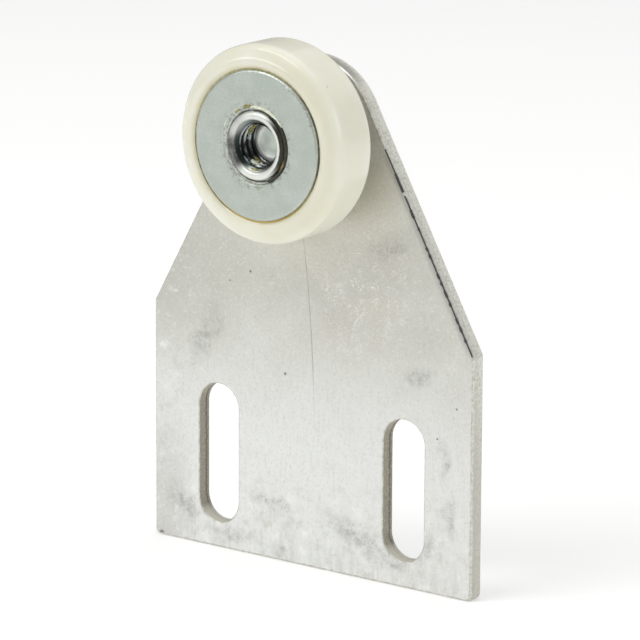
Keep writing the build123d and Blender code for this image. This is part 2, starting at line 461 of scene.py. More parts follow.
def nylon_material(name, colour, tint, oil):
    """Natural nylon: cream, slightly translucent, with painted shade: yellower mid-tread, near the shields
    and towards +X.
    """
    m = Material(name, Metallic=0.0, Subsurface_Weight=0.3, Subsurface_Scale=0.002, IOR=1.53)
    m.shader.inputs["Subsurface Radius"].default_value = (1.0, 0.85, 0.5)
    radius = m.radius()
    off_middle = m.math("ABSOLUTE", m.math("ADD", m.axis("Y"), (WHEEL_FRONT + WHEEL_REAR) / 2))
    # painted shade: the middle of the tread yellower, for the steel race seen through thin nylon
    middle = m.times(m.between(off_middle, 4.5, 1.0), m.between(radius, 18.2, 19.0))
    clouds = m.most(m.between(m.noise(7, detail=2), 0.35, 0.75), m.times(middle, 0.6))
    m.colour = m.mix(clouds, colour, tint)
    # painted shade: yellower and darker towards the shields; the colour passed in as oil paints this shade
    shade_by_shield = m.math("MULTIPLY_ADD", m.noise(1.5, detail=2), 1.2, radius)
    m.paint(m.between(shade_by_shield, 16.4, 15.1, 0, 0.55), oil)
    # painted shade: the outer face yellower towards +X, the side away from the key light
    shade_on_right = m.times(m.between(radius, 19.0, 17.0), m.round_axle(0, 100))
    m.paint(shade_on_right, (0.76, 0.735, 0.58), 0.6)
    speck = m.between(m.distance((14.2, -17.4, AXLE_Z + 12.4)), 0.4, 0.15, 0, 0.5)
    m.paint(speck, (0.45, 0.36, 0.2))
    relief = m.bump(m.noise(1.3, detail=2), 0.012, 0.35)
    return m.set(Base_Color=m.colour, Roughness=m.between(m.noise(2.5), 0.3, 0.7, 0.13, 0.19), Normal=relief)


def zinc_material():
    """Satin zinc plate on sheet: grey-green, finely speckled, smudged by the hub, nicked at the rim."""
    m = Material("shield_zinc", Metallic=0.8, Specular_IOR_Level=0.5)
    base, pale, dark = (0.465, 0.515, 0.465), (0.545, 0.59, 0.545), (0.32, 0.35, 0.315)
    grain = m.noise(0.32, roughness=0.7)
    clouds = m.noise(5, detail=4)
    radius = m.radius()
    m.colour = m.mix(m.between(clouds, 0.35, 0.7), base, pale)
    m.paint(m.between(grain, 0.5, 0.72, 0, 0.45), dark)
    m.paint(m.between(grain, 0.44, 0.28, 0, 0.4), (0.74, 0.78, 0.74))
    nicks = m.times(m.between(radius, 13.5, 14.1), m.between(m.noise(0.5, detail=2), 0.53, 0.66))
    nicks = m.times(nicks, m.most(m.round_axle(65, 60), 0.15))
    m.paint(nicks, (0.84, 0.86, 0.8), 0.8)
    near_hub = m.between(radius, 9.4, SHIELD_HOLE_RADIUS + 0.3)
    grime_and_shade = m.times(near_hub, m.between(m.noise(0.8, detail=4, roughness=0.7), 0.5, 0.62))
    m.paint(grime_and_shade, (0.22, 0.23, 0.17), 0.65)
    spots = m.times(m.between(m.cells(3.2), 0.09, 0.05), m.between(m.noise(2.0), 0.5, 0.56))
    m.paint(spots, (0.16, 0.17, 0.14), 0.7)
    relief = m.bump(grain, 0.015, 0.5)
    relief = m.bump(m.noise(1.5), 0.03, 0.4, under=relief)
    return m.set(Base_Color=m.colour, Roughness=m.between(clouds, 0.3, 0.7, 0.34, 0.46), Normal=relief)


def amber_material():
    """Oil in the groove round a shield: thick amber below, thin straw above, with painted shade at the
    sides.
    """
    m = Material("amber_oil", Roughness=0.2, IOR=1.47)
    film = m.noise(0.7)
    m.colour = m.mix(m.between(film, 0.35, 0.65), (0.66, 0.62, 0.4), (0.52, 0.46, 0.22))
    m.paint(m.round_axle(-88, 62), (0.62, 0.44, 0.1))
    # painted shade: the groove darkened at its sides, where the gap next to the shield lies in shadow
    grime_and_shade = m.most(m.round_axle(12, 50), m.times(m.round_axle(205, 48), 0.7))
    grime_and_shade = m.times(grime_and_shade, m.between(film, 0.3, 0.6, 0.6, 1))
    m.paint(grime_and_shade, (0.09, 0.085, 0.05))
    return m.set(Base_Color=m.colour)


def bore_material():
    """Tapped hole full of old oil: roots nearly black from the oil and painted shade, grey steel on the
    crests with painted glints.
    """
    m = Material("bore_steel", Metallic=1.0)
    crest = m.between(m.radius(), 4.4, 4.1)
    patches = m.between(m.noise(1.1), 0.42, 0.62, 0.1, 1)
    steel = m.mix(patches, (0.04, 0.045, 0.04), (0.28, 0.31, 0.32))
    # painted highlights: crests paler towards the upper left and the lower right
    crest_glints = m.most(m.round_axle(145, 45), m.round_axle(285, 40))
    steel = m.mix(crest_glints, steel, (0.55, 0.58, 0.58), 0.6)
    # painted shade: the roots darker deeper in the hole and towards -X at the mouth, with a painted
    # highlight at the bottom of the mouth
    mouth = m.between(m.axis("Y"), 1.35 - HUB_FRONT, 0.6 - HUB_FRONT)
    band = m.mix(m.round_axle(200, 62), (0.3, 0.33, 0.31), (0.035, 0.045, 0.04))
    band = m.mix(m.round_axle(282, 40), band, (0.52, 0.55, 0.5))
    root = m.mix(mouth, (0.018, 0.022, 0.018), band)
    return m.set(Base_Color=m.mix(crest, root, steel), Roughness=m.between(crest, 0, 1, 0.35, 0.2))


def turned_material(name, colour, roughness, marks=0.5, metal=1.0):
    """Turned steel: fine rings about the axle left by the tool."""
    m = Material(name, Metallic=metal)
    wobble = m.math("MULTIPLY_ADD", m.noise(1.2), 0.12, m.radius())
    rings = m.math("SINE", m.times(wobble, 52.0))
    smears = m.noise(1.6, detail=4, roughness=0.65)
    darker = tuple(channel * 0.7 for channel in colour)
    return m.set(
        Base_Color=m.mix(m.between(smears, 0.45, 0.75, 0, 0.6), colour, darker),
        Roughness=m.between(smears, 0.3, 0.7, roughness * 0.8, roughness * 1.3),
        Normal=m.bump(m.math("MULTIPLY_ADD", rings, 0.5, 0.5), 0.004, marks),
    )


def hub_material():
    """Turned lip of the hub: pale grey, with painted shade and dark reflection towards -X, and a painted
    dark reflection with old grease on the flank towards +X.
    """
    m = Material("hub_steel", Metallic=0.6)
    smears = m.noise(1.4, detail=4, roughness=0.65)
    m.colour = m.mix(m.between(smears, 0.45, 0.75, 0, 0.4), (0.78, 0.81, 0.76), (0.64, 0.66, 0.63))
    # painted shade: the lip greyer towards the upper left
    m.paint(m.round_axle(150, 45), (0.42, 0.42, 0.42), 0.45)
    # painted dark reflection: nearly black low on the left
    painted_shade_lower_left = m.times(m.round_axle(199, 44), m.between(smears, 0.35, 0.6, 0.75, 0.92))
    m.paint(painted_shade_lower_left, (0.03, 0.03, 0.03))
    # painted shade: the inner rounding darker towards +X, where it turns into the bore
    inner = m.times(m.between(m.radius(), 5.6, 5.3), m.round_axle(10, 70))
    m.paint(inner, (0.42, 0.43, 0.4), 0.5)
    # painted dark reflection on the outer flank towards +X, with old grease
    flank = m.between(m.math("MULTIPLY_ADD", smears, 0.3, m.radius()), 6.0, 6.2)
    m.paint(m.times(flank, m.round_axle(4, 68)), (0.045, 0.045, 0.03))
    return m.set(Base_Color=m.colour, Roughness=m.between(smears, 0.3, 0.7, 0.36, 0.46))


def stud_material():
    """Turned steel of the stud, its end painted paler round the chamfer for a highlight and smudged off
    centre.
    """
    m = Material("stud_steel", Metallic=0.55)
    smears = m.noise(1.6, detail=4, roughness=0.65)
    m.colour = m.mix(m.between(smears, 0.45, 0.7, 0, 0.35), (0.88, 0.96, 0.87), (0.7, 0.78, 0.69))
    # painted highlight: a paler ring round the chamfer of the end
    m.paint(m.between(m.radius(), 2.3, 2.9), (0.97, 1.0, 0.95))
    smudge = m.between(m.distance((-1.1, -STUD_END, AXLE_Z + 0.4)), 1.5, 0.3, 0, 0.25)
    m.paint(smudge, (0.45, 0.48, 0.43))
    return m.set(Base_Color=m.colour, Roughness=m.between(smears, 0.3, 0.7, 0.34, 0.5))


def polished_material(name, colour, roughness):
    """Smooth hard steel with a faint film of grease."""
    m = Material(name, Metallic=1.0)
    film = m.noise(1.8)
    oily = (colour[0] * 0.92, colour[1] * 0.86, colour[2] * 0.66)
    return m.set(
        Base_Color=m.mix(m.between(film, 0.5, 0.75, 0, 0.6), colour, oily),
        Roughness=m.between(film, 0.3, 0.7, roughness, roughness * 1.8),
    )


def grease_material(name, colour, dark, roughness=0.16):
    """Bearing grease: wet, lumpy and uneven in colour."""
    m = Material(name, IOR=1.47, Subsurface_Weight=0.2, Subsurface_Scale=0.0008)
    m.shader.inputs["Subsurface Radius"].default_value = (1.0, 0.7, 0.2)
    lumps = m.noise(0.5)
    relief = m.bump(m.noise(0.35), 0.05, 0.6)
    uneven = m.mix(m.between(lumps, 0.36, 0.64), dark, colour)
    return m.set(Base_Color=uneven, Roughness=roughness, Normal=relief)


# Marks on the plate's front: smudges as (x, z, half length, half width, slope in degrees),
PLATE_SMUDGES = (
    (-25.5, 23, 10, 3.6, 62), (-31, -11.5, 7, 4, -45), (-9.5, -8, 7, 2.6, -10), (11, -11, 12, 3.8, -24),
    (31.5, 8, 6, 1.8, 95), (33, -3, 6, 2, 85), (28, -10.5, 6, 2.8, 55), (20, -14, 5, 2.4, -20),
    (26, 23, 4.5, 2.6, 20), (18.5, 47, 5.5, 3.2, 10), (-6, -16.5, 4, 2, 80), (-20, -16, 8, 2.5, -10),
)
# and pits as (x, z, radius), the last one on the foot's rim
PLATE_PITS = (
    (-6, 18.5, 0.4), (-14.5, 37.5, 0.38), (-19.5, 35, 0.26), (30, 11.5, 0.3), (34.4, 18, 0.3),
    (-36.5, -18.8, 0.95),
)

STEEL = plate_material()
SHEARED = sheared_material("sheared_edge", (0.71, 0.71, 0.65), (0.77, 0.77, 0.7), (0.5, 0.49, 0.43))
SLOT_WALL = slot_material()
ROLLED_RIM = rim_material()
# near-black colours for the tear's groove: painted shade, with some grime
SHADED_SHEAR_LINE = sheared_material("shear_line_grime_and_shade", (0.1, 0.1, 0.095), (0.1, 0.1, 0.09), (0.04, 0.04, 0.035))
NYLON = nylon_material("nylon", (0.84, 0.835, 0.72), (0.81, 0.795, 0.65), (0.77, 0.68, 0.42))
AMBER = amber_material()
ZINC = zinc_material()
HUB_STEEL = hub_material()
BORE_STEEL = bore_material()
STUD_STEEL = stud_material()
HEAD_STEEL = turned_material("head_steel", (0.62, 0.62, 0.6), 0.38, marks=0.6)
NUT_ZINC = turned_material("nut_zinc", (0.66, 0.68, 0.68), 0.3, marks=0.2)
RACE_STEEL = polished_material("race_steel", (0.55, 0.55, 0.55), 0.25)
BALL_STEEL = polished_material("ball_steel", (0.75, 0.75, 0.76), 0.06)
# near-black grease, also used for painted shade in the gap round the hub
DARK_GREASE_AND_SHADE = grease_material("dark_grease_and_shade", (0.045, 0.045, 0.024), (0.02, 0.02, 0.012), 0.5)
OLIVE_GREASE = grease_material("olive_grease", (0.44, 0.41, 0.13), (0.22, 0.2, 0.06))
BROWN_GREASE = grease_material("brown_grease", (0.24, 0.17, 0.05), (0.1, 0.08, 0.03), 0.4)
PASTE = grease_material("grey_paste", (0.66, 0.69, 0.63), (0.38, 0.4, 0.34), 0.45)
# pale grease, also used to paint highlights at the hub
PALE_GREASE_AND_GLINT = grease_material("pale_grease_and_glint", (0.88, 0.9, 0.74), (0.7, 0.71, 0.5), 0.12)
# glossy bluish beads that paint glints in the tapped hole
BLUISH_GLINT = grease_material("painted_bluish_glint", (0.52, 0.62, 0.62), (0.24, 0.29, 0.28), 0.08)


# ------------------------ hanger plate
def plate_loop(spacing=0.35):
    """Points and outward normals round the plate, as (x, z) rows, anticlockwise from the foot."""
    bottom, corner = BOTTOM_CORNER_RADIUS, SIDE_CORNER_RADIUS
    foot_x, foot_z = HALF_WIDTH - bottom, PLATE_LOW.z + bottom
    side_x, side_z = HALF_WIDTH - corner, SIDE_TOP - corner * math.tan(SLOPE / 2)
    circles = [((-foot_x, foot_z), bottom), ((foot_x, foot_z), bottom), ((side_x, side_z), corner)]
    circles += [((0.0, AXLE_Z), CROWN_RADIUS), ((-side_x, side_z), corner)]
    points, normals = [], []
    for i, (centre, radius) in enumerate(circles):
        before, after = circles[i - 1], circles[(i + 1) % len(circles)]
        start = tangent_normal(before[0], before[1], centre, radius)
        end = tangent_normal(centre, radius, after[0], after[1])
        end += TAU if end < start else 0
        steps = max(4, round(radius * (end - start) / spacing))
        for k in range(steps + 1):
            angle = start + (end - start) * k / steps
            normals.append((math.cos(angle), math.sin(angle)))
            points.append((centre[0] + radius * normals[-1][0], centre[1] + radius * normals[-1][1]))
        far = (after[0][0] + after[1] * normals[-1][0], after[0][1] + after[1] * normals[-1][1])
        first = Vector(points[-1])
        run = Vector(far) - first
        pieces = round(run.length / spacing)
        for k in range(1, pieces):
            points.append(tuple(first + run * k / pieces))
            normals.append(normals[-1])
    return np.array(points), np.array(normals)


def slot_loop(x, spacing=0.45):
    """Points and normals round a slot, clockwise, so that the normals point into the opening."""
    points, normals = [], []
    for end in (1, -1):
        steps = round(math.pi * SLOT_RADIUS / spacing)
        for k in range(steps + 1):
            angle = (math.pi if end == 1 else 0) - math.pi * k / steps
            out = (math.cos(angle), math.sin(angle))
            points.append((x + SLOT_RADIUS * out[0], end * SLOT_STRAIGHT + SLOT_RADIUS * out[1]))
            normals.append((-out[0], -out[1]))
        side = points[-1]
        steps = round(2 * SLOT_STRAIGHT / spacing)
        for k in range(1, steps):
            points.append((side[0], side[1] - end * 2 * SLOT_STRAIGHT * k / steps))
            normals.append(normals[-1])
    return np.array(points), np.array(normals)


def hole_loop(radius, count=72):
    """Points round the stud hole, clockwise."""
    angles = -np.arange(count) * TAU / count
    return np.column_stack((np.cos(angles), np.sin(angles))) * radius + (0, AXLE_Z)


def waver(flat, scale, seed):
    """Smooth unevenness at the points of an outline, about -0.5 to 0.5."""
    return np.array([noise.noise(Vector((x * scale, z * scale, seed))) for x, z in flat])


class PlateBuilder:
    """Collects the plate's vertices and faces, loop by loop."""

    def __init__(self):
        self.points, self.faces, self.indices = [], [], []

    def ring(self, flat, depth):
        """Add one loop of vertices and return their numbers."""
        first = len(self.points)
        depths = np.broadcast_to(depth, len(flat))
        self.points += [(x, -d, z) for (x, z), d in zip(flat, depths)]
        return np.arange(first, first + len(flat))

    def wall(self, rings, indices):
        """Join a run of loops with bands of faces, each band with its own material indices."""
        for one, two, index in zip(rings, rings[1:], indices):
            self.faces += np.stack((one, np.roll(one, -1), np.roll(two, -1), two), -1).tolist()
            self.indices += np.broadcast_to(index, len(one)).tolist()

    def sheet(self, rings, depth, inside, spacing=0.75):
        """Fill between an outline and its holes with fine, even triangles."""
        numbers = np.concatenate(rings)
        flat = np.array([(self.points[i][0], self.points[i][2]) for i in numbers])
        edges, loops, start = [], [], 0
        for ring in rings:
            loop = list(range(start, start + len(ring)))
            edges += zip(loop, loop[1:] + loop[:1])
            loops.append(loop)
            start += len(ring)
        row_step = spacing * 0.866  # rows of even triangles
        grid = []
        for number, z in enumerate(np.arange(PLATE_LOW.z, PLATE_HIGH.z, row_step)):
            shift = spacing / 2 * (number % 2)
            grid += [(x, z) for x in np.arange(-HALF_WIDTH + shift, HALF_WIDTH, spacing)]
        grid = np.array(grid)
        grid = grid[inside(grid, spacing * 0.55)]
        everything = [Vector(p) for p in np.vstack((flat, grid))]
        with_holes = 2  # triangles inside the outline only, and none in its holes
        made = delaunay_2d_cdt(everything, edges, loops, with_holes, 1e-5)
        made_points, _, made_faces, origins = made[:4]
        new = {}
        for index, ((x, z), sources) in enumerate(zip(made_points, origins)):
            known = [source for source in sources if source < len(flat)]
            if known:
                new[index] = int(numbers[known[0]])
            else:
                new[index] = len(self.points)
                self.points.append((x, -depth, z))
        for face in made_faces:
            self.faces.append(tuple(new[i] for i in face))
            self.indices.append(0)


STEEL_FACE, SHEARED_WALL, SHADED_TORN_LINE, SLOT_INSIDE, ROUNDED_RIM = range(5)


def make_plate():
    """Blanked plate: rolled-in front rim, torn walls, a fine burr behind, and slightly uneven faces."""
    outline, out = plate_loop()
    slots = [slot_loop(x) for x in (-SLOT_X, SLOT_X)]
    plate = PlateBuilder()

    def inside(grid, margin):
        rim = 0.5  # room for the rounded rims
        keep = ((grid[:, None, :] - outline[None]) * out[None]).sum(-1).max(1) < -margin - rim
        for x in (-SLOT_X, SLOT_X):
            past = np.maximum(np.abs(grid[:, 1]) - SLOT_STRAIGHT, 0)
            keep &= np.hypot(grid[:, 0] - x, past) > SLOT_RADIUS + margin + rim
        keep &= np.hypot(grid[:, 0], grid[:, 1] - AXLE_Z) > STUD_HEAD_RADIUS + margin
        return keep

    # The right-hand shear left a torn groove just inside the front rim of the sloping side, painted near
    # black for its shade and some grime
    height = outline[:, 1]
    torn = np.clip((height - SIDE_TOP) / 0.8, 0, 1) * np.clip((TEAR_TOP - height) / 5, 0, 1)
    torn = (outline[:, 0] > 0) * torn * np.clip(np.abs(height - TEAR_BREAK) / 0.4 - 0.5, 0, 1)
    ragged, fine = waver(outline, 0.9, 3.0), waver(outline, 3.1, 8.0)
    torn_depth = torn * (0.9 + 0.5 * ragged + 0.25 * fine)
    rim = (  # inset from the outline, depth below the front face, extra depth where torn
        (0.95, 0.0, 0.0), (0.5, 0.0, 0.0), (0.4, 0.012, 0.12), (0.29, 0.035, 0.22), (0.18, 0.08, 0.22),
        (0.1, 0.15, 0.08), (0.04, 0.25, 0.0), (0.01, 0.36, 0.0), (0.0, 0.5, 0.0),
    )
    rings = []
    for inset, below, extra in rim:
        wander = inset + (0.05 * ragged + 0.04 * fine * (torn > 0)) * (inset > 0.15)
        rings.append(plate.ring(outline - out * wander[:, None], THICKNESS - below - extra * torn_depth))
    wide_tear = torn * (1 + ragged) * (1 + 0.8 * (height > TEAR_BREAK - 0.5)) > 1.1
    line = np.where(wide_tear, SHADED_TORN_LINE, STEEL_FACE)
    rolled = np.where(torn > 0.08, SHADED_TORN_LINE, ROUNDED_RIM)
    below_line = np.where(wide_tear, SHADED_TORN_LINE, ROUNDED_RIM)
    bands = [STEEL_FACE, line, rolled, rolled, rolled, below_line, ROUNDED_RIM, ROUNDED_RIM]
    for share in (0.75, 0.6, 0.45, 0.3, 0.16, 0.05):
        tear = 0.05 * (1 - share) + 0.035 * (waver(outline, 2.3, share * 9) + 0.4)
        rings.append(plate.ring(outline - out * np.clip(tear, 0, 1)[:, None], THICKNESS * share))
        bands.append(SHEARED_WALL)
    rings += [plate.ring(outline - out * inset, 0.0) for inset in (0.03, 0.22)]
    plate.wall(rings, bands + [SHEARED_WALL] * 2)
    front_rings, back_rings = [rings[0]], [rings[-1]]
    for flat, into in slots:
        rings = []
        for inset, below in zip((0.45, 0.28, 0.14, 0.05, 0.01, 0.0), (0.0, 0.02, 0.07, 0.15, 0.25, 0.36)):
            rings.append(plate.ring(flat - into * inset, THICKNESS - below))
        for share in (0.72, 0.55, 0.38, 0.2, 0.06):
            tear = 0.03 * (waver(flat, 2.1, share * 7) + 0.6)
            rings.append(plate.ring(flat - into * tear[:, None], THICKNESS * share))
        rings.append(plate.ring(flat - into * 0.12, 0.0))
        plate.wall(rings, [STEEL_FACE, ROUNDED_RIM, ROUNDED_RIM] + [SLOT_INSIDE] * 9)
        front_rings.append(rings[0])
        back_rings.append(rings[-1])
    steps = (
        (STUD_SHANK_RADIUS, THICKNESS), (STUD_SHANK_RADIUS, STUD_HEAD_THICKNESS),
        (STUD_HEAD_RADIUS, STUD_HEAD_THICKNESS), (STUD_HEAD_RADIUS, 0.08), (STUD_HEAD_RADIUS + 0.08, 0.0),
    )
    rings = [plate.ring(hole_loop(radius), depth) for radius, depth in steps]
    plate.wall(rings, [SHEARED_WALL] * 4)
    plate.sheet(front_rings + rings[:1], THICKNESS, inside)
    plate.sheet(back_rings + rings[-1:], 0.0, inside)
    mesh = bpy.data.meshes.new("hanger_plate")
    mesh.from_pydata([tuple(c * MM for c in p) for p in plate.points], [], plate.faces)
    mesh.polygons.foreach_set("material_index", plate.indices)
    mesh.update()
    for vertex in mesh.vertices:
        place = vertex.co / MM
        if abs(place.y) < 0.001 or abs(place.y + THICKNESS) < 0.001:
            wave = noise.noise(place * 0.11) * 0.03 + noise.noise(place * 0.5) * 0.012
            into = abs(wave) if place.y > -1 else -abs(wave)
            vertex.co.y -= into * MM
    finish_mesh(mesh, 40)
    materials = (STEEL, SHEARED, SHADED_SHEAR_LINE, SLOT_WALL, ROLLED_RIM)
    add_piece("hanger_plate", mesh, "bracket", "plate_steel", materials, ("mounting_plate",))


make_plate()


# ------------------------ turned and moulded pieces
def make_tyre():
    """Nylon tyre: soft two-edged front shoulder, tighter rear edge, and a lip round each shield."""
    front, rear = WHEEL_FRONT, WHEEL_REAR
    heel, shoulder, crest = 1.1, 2.0, 2.2  # radii of the rear edge and of the front's two soft rounds
    bore, groove = SHIELD_RADIUS + 0.02, 1  # the groove's material index
    rows = [(RACE_RADIUS, rear + SHIELD_THICKNESS), (bore, rear + SHIELD_THICKNESS, groove)]
    rows += [(bore, rear + 0.5, groove)]
    rows += [(SHIELD_RADIUS + 0.16, rear + 0.32), (SHIELD_RADIUS + 0.2, rear + 0.16)]
    rows += arc((SHIELD_RADIUS + 0.5, rear + 0.25), 0.25, 210, 270, 4)
    rows += [(r, rear) for r in (15.6, 16.4, 17.2)]
    rows += arc((TREAD_RADIUS - 1.13, rear + heel), heel, -90, 0, 12)
    middle = (front + rear) / 2
    for offset in (-3.6, -2.4, -1.2, 0.0, 0.8, 1.6, 2.4):
        rows.append((TREAD_RADIUS - 0.02 * (offset / 3) ** 2, middle + offset))
    rows += arc((TREAD_RADIUS - 2.02, front - 2.71), shoulder, 0, 60, 18)
    rows += arc((15.75, front - crest), crest, 60, 90, 16)
    lip = ((15.6, 0.005), (15.45, 0.025), (15.27, 0.085), (15.08, 0.18), (14.9, 0.3))
    rows += [(r, front - below) for r, below in lip]
    rows += [(14.72, front - 0.46, groove), (14.55, front - 0.56, groove), (bore, front - 0.6, groove)]
    rows += [(bore, front - SHIELD_THICKNESS), (RACE_RADIUS, front - SHIELD_THICKNESS)]
    add_piece("wheel_tyre", lathe("wheel_tyre", rows, 320), "wheel", "nylon", (NYLON, AMBER), ("tyre",))


def make_shield(name, outer, inner, node):
    """Stamped disc between two depths, its rounded edges on the outer side."""
    way = 1 if outer > inner else -1
    edge, lip = 0.55, 0.35
    rows = []
    for r, d in arc((SHIELD_RADIUS - edge, 0), edge, 0, 90, 10):
        rows.append((r, outer - way * (edge - d)))
    for r in (13.2, 12.4, 11.4, 10.2, 9.2, 8.6, 8.2):
        rows.append((r, outer - way * 0.03 * (1 - abs(r - 11) / 3.5)))
    for r, d in arc((SHIELD_HOLE_RADIUS + lip, 0), lip, 90, 180, 8):
        rows.append((r, outer - way * (lip - d)))
    rows += [(SHIELD_HOLE_RADIUS, inner + way * 0.1), (SHIELD_HOLE_RADIUS + 0.1, inner)]
    rows += [(r, inner) for r in (9.5, 11.5, 13.0)]
    rows += [(SHIELD_RADIUS - 0.06, inner), (SHIELD_RADIUS, inner + way * 0.06)]
    add_piece(name, lathe(name, rows), "wheel", "shield_zinc", (ZINC,), (node,))


def make_hub():
    """Hub: rolled front lip, real right-hand thread in the bore, ball groove round the middle."""
    low, high = HUB_LAND_DEPTHS
    middle = (low + high) / 2
    reach = math.degrees(math.acos((BALL_CIRCLE_RADIUS - HUB_LAND_RADIUS) / BALL_GROOVE_RADIUS))
    rows = arc((HUB_NECK_RADIUS - 0.2, HUB_REAR + 0.2), 0.2, -90, 0, 4)
    rows += [(HUB_NECK_RADIUS, low), (HUB_LAND_RADIUS - 0.1, low), (HUB_LAND_RADIUS, low + 0.1)]
    for step in range(17):
        angle = math.radians(180 + reach - 2 * reach * step / 16)
        r = BALL_CIRCLE_RADIUS + BALL_GROOVE_RADIUS * math.cos(angle)
        rows.append((r, middle + BALL_GROOVE_RADIUS * math.sin(angle)))
    rows += [(HUB_LAND_RADIUS, high - 0.1), (HUB_LAND_RADIUS - 0.1, high)]
    rows += [(HUB_NECK_RADIUS, high), (HUB_NECK_RADIUS, HUB_FRONT - 1.2)]
    outer, inner = 0.65, HUB_LIP_RADIUS
    rows += arc((HUB_NECK_RADIUS - outer, HUB_FRONT - outer), outer, 0, 84, 12)
    rows += arc((5.55, HUB_FRONT - inner), inner, 88, 172, 12)
    mouth_radius, mouth_depth = rows[-1]
    top = mouth_depth - 0.02
    steps, bore = 132, 1  # the bore's material index
    for step in range(steps + 1):
        depth = top - (top - HUB_REAR) * step / steps
        front_chamfer = mouth_radius - (mouth_depth - depth) * 1.1
        rear_chamfer = HUB_REAR - depth + THREAD_MAJOR
        rows.append((internal_thread(depth, max(front_chamfer, rear_chamfer, THREAD_MINOR)), depth, bore))
    mesh = lathe("threaded_hub", rows, 192)
    add_piece("threaded_hub", mesh, "bracket", "hub_steel", (HUB_STEEL, BORE_STEEL), ("hub",))


def make_stud():
    """Stud: head pressed flush in the plate, shank, thread and a chamfered end."""
    fit, steps, head = 0.02, 120, 1  # gap to the plate, rings along the thread, the head's material index
    rows = [(0, 0.0), (4.6, 0.0), (STUD_HEAD_RADIUS - 0.35, 0.0), (STUD_HEAD_RADIUS - 0.1, 0.05)]
    rows += [(STUD_HEAD_RADIUS - fit, 0.16), (STUD_HEAD_RADIUS - fit, STUD_HEAD_THICKNESS - fit)]
    rows += [(STUD_SHANK_RADIUS - fit, STUD_HEAD_THICKNESS - fit), (STUD_SHANK_RADIUS - fit, THICKNESS)]
    rows = [(r, d, head) for r, d in rows]
    for step in range(steps + 1):
        depth = THICKNESS + 0.05 + (STUD_END - 0.06 - THICKNESS) * step / steps
        rows.append((external_thread(depth, 3.5 + (STUD_END - depth) * 1.1), depth))
    rows += [(3.4, STUD_END - 0.01), (3.3, STUD_END), (2.95, STUD_END), (2.8, STUD_END - 0.06)]
    rows += [(2.6, STUD_END - 0.2), (1.2, STUD_END - 0.24), (0, STUD_END - 0.25)]
    mesh = lathe("threaded_stud", rows, 160)
    add_piece("threaded_stud", mesh, "bracket", "stud_steel", (STUD_STEEL, HEAD_STEEL), ("axle_stud",))


def make_nut():
    """Jam nut: hexagon with turned-off corners and a countersunk thread."""
    low, high = cad_mm("jam_nut")
    flats = (high.x - low.x) / 2
    rear, front = THICKNESS, -low.y

    def hexagon(angles):
        return flats / np.cos((angles + TAU / 12) % (TAU / 6) - TAU / 12)

    def chamfered(limit):
        return lambda angles: np.minimum(hexagon(angles), limit)

    face, sink = flats * 0.94, THREAD_MAJOR + 0.3
    out, back = 0.19, 0.11  # one step of the turned-off corners
    rows = [(face, rear)]
    rows += [(chamfered(face + out * step), rear + back * step) for step in range(1, 9)]
    rows += [(chamfered(face + out * step), front - back * step) for step in range(8, 0, -1)]
    rows += [(face, front), (5.6, front), (sink, front)]
    steps = 60
    for step in range(steps + 1):
        depth = front - 0.02 - (front - 0.04 - rear) * step / steps
        rows.append((internal_thread(depth, max(sink - (front - depth), sink - (depth - rear))), depth))
    rows += [(sink, rear), (5.6, rear)]
    add_piece("lock_nut", lathe("lock_nut", rows, 288), "bracket", "nut_zinc", (NUT_ZINC,), ("jam_nut",))


ON_SHIELD = ("wheel", "shield_zinc")
ON_HUB = ("bracket", "hub_steel")


def bead(name, seat, material, middle, span, size, seed, lumpy=1.0):
    """Uneven bead of grease along an arc about the axle, thinning to both ends.

    The seat is its body and a slot that is not used, the middle its radius and depth, the span its two
    angles from +X in degrees, and the size half its width and half its height.
    """
    radius, depth = middle
    start, end = span
    width, height = size
    steps = max(12, round(abs(end - start) / 2.5))
    around = 12
    points, faces = [], []
    for step in range(steps + 1):
        share = step / steps
        angle = math.radians(start + (end - start) * share)
        lump = 1 - lumpy * (0.25 - 0.5 * noise.noise(Vector((share * 7, seed, 0))))
        full = max(0.03, math.sin(math.pi * share) ** (0.45 * lumpy) * lump)
        r = radius + 0.12 * width * lumpy * noise.noise(Vector((share * 5, seed, 4)))
        for k in range(around):
            turn = TAU * k / around
            across, up = math.cos(turn), math.sin(turn)
            ripple = 1 + 0.22 * lumpy * noise.noise(Vector((share * 19, seed + across, up)))
            here = r + width * full * ripple * across
            points.append((
                here * math.cos(angle) * MM,
                -(depth + height * full * ripple * up) * MM,
                (AXLE_Z + here * math.sin(angle)) * MM,
            ))
        if step:
            for k in range(around):
                after = (k + 1) % around
                base = step * around
                faces.append((base + k, base + after, base - around + after, base - around + k))
    faces += [tuple(range(around)), tuple(range(steps * around, (steps + 1) * around))]
    mesh = bpy.data.meshes.new(name)
    mesh.from_pydata(points, [], faces)
    finish_mesh(mesh, 70)
    add_piece(name, mesh, *seat, (material,))


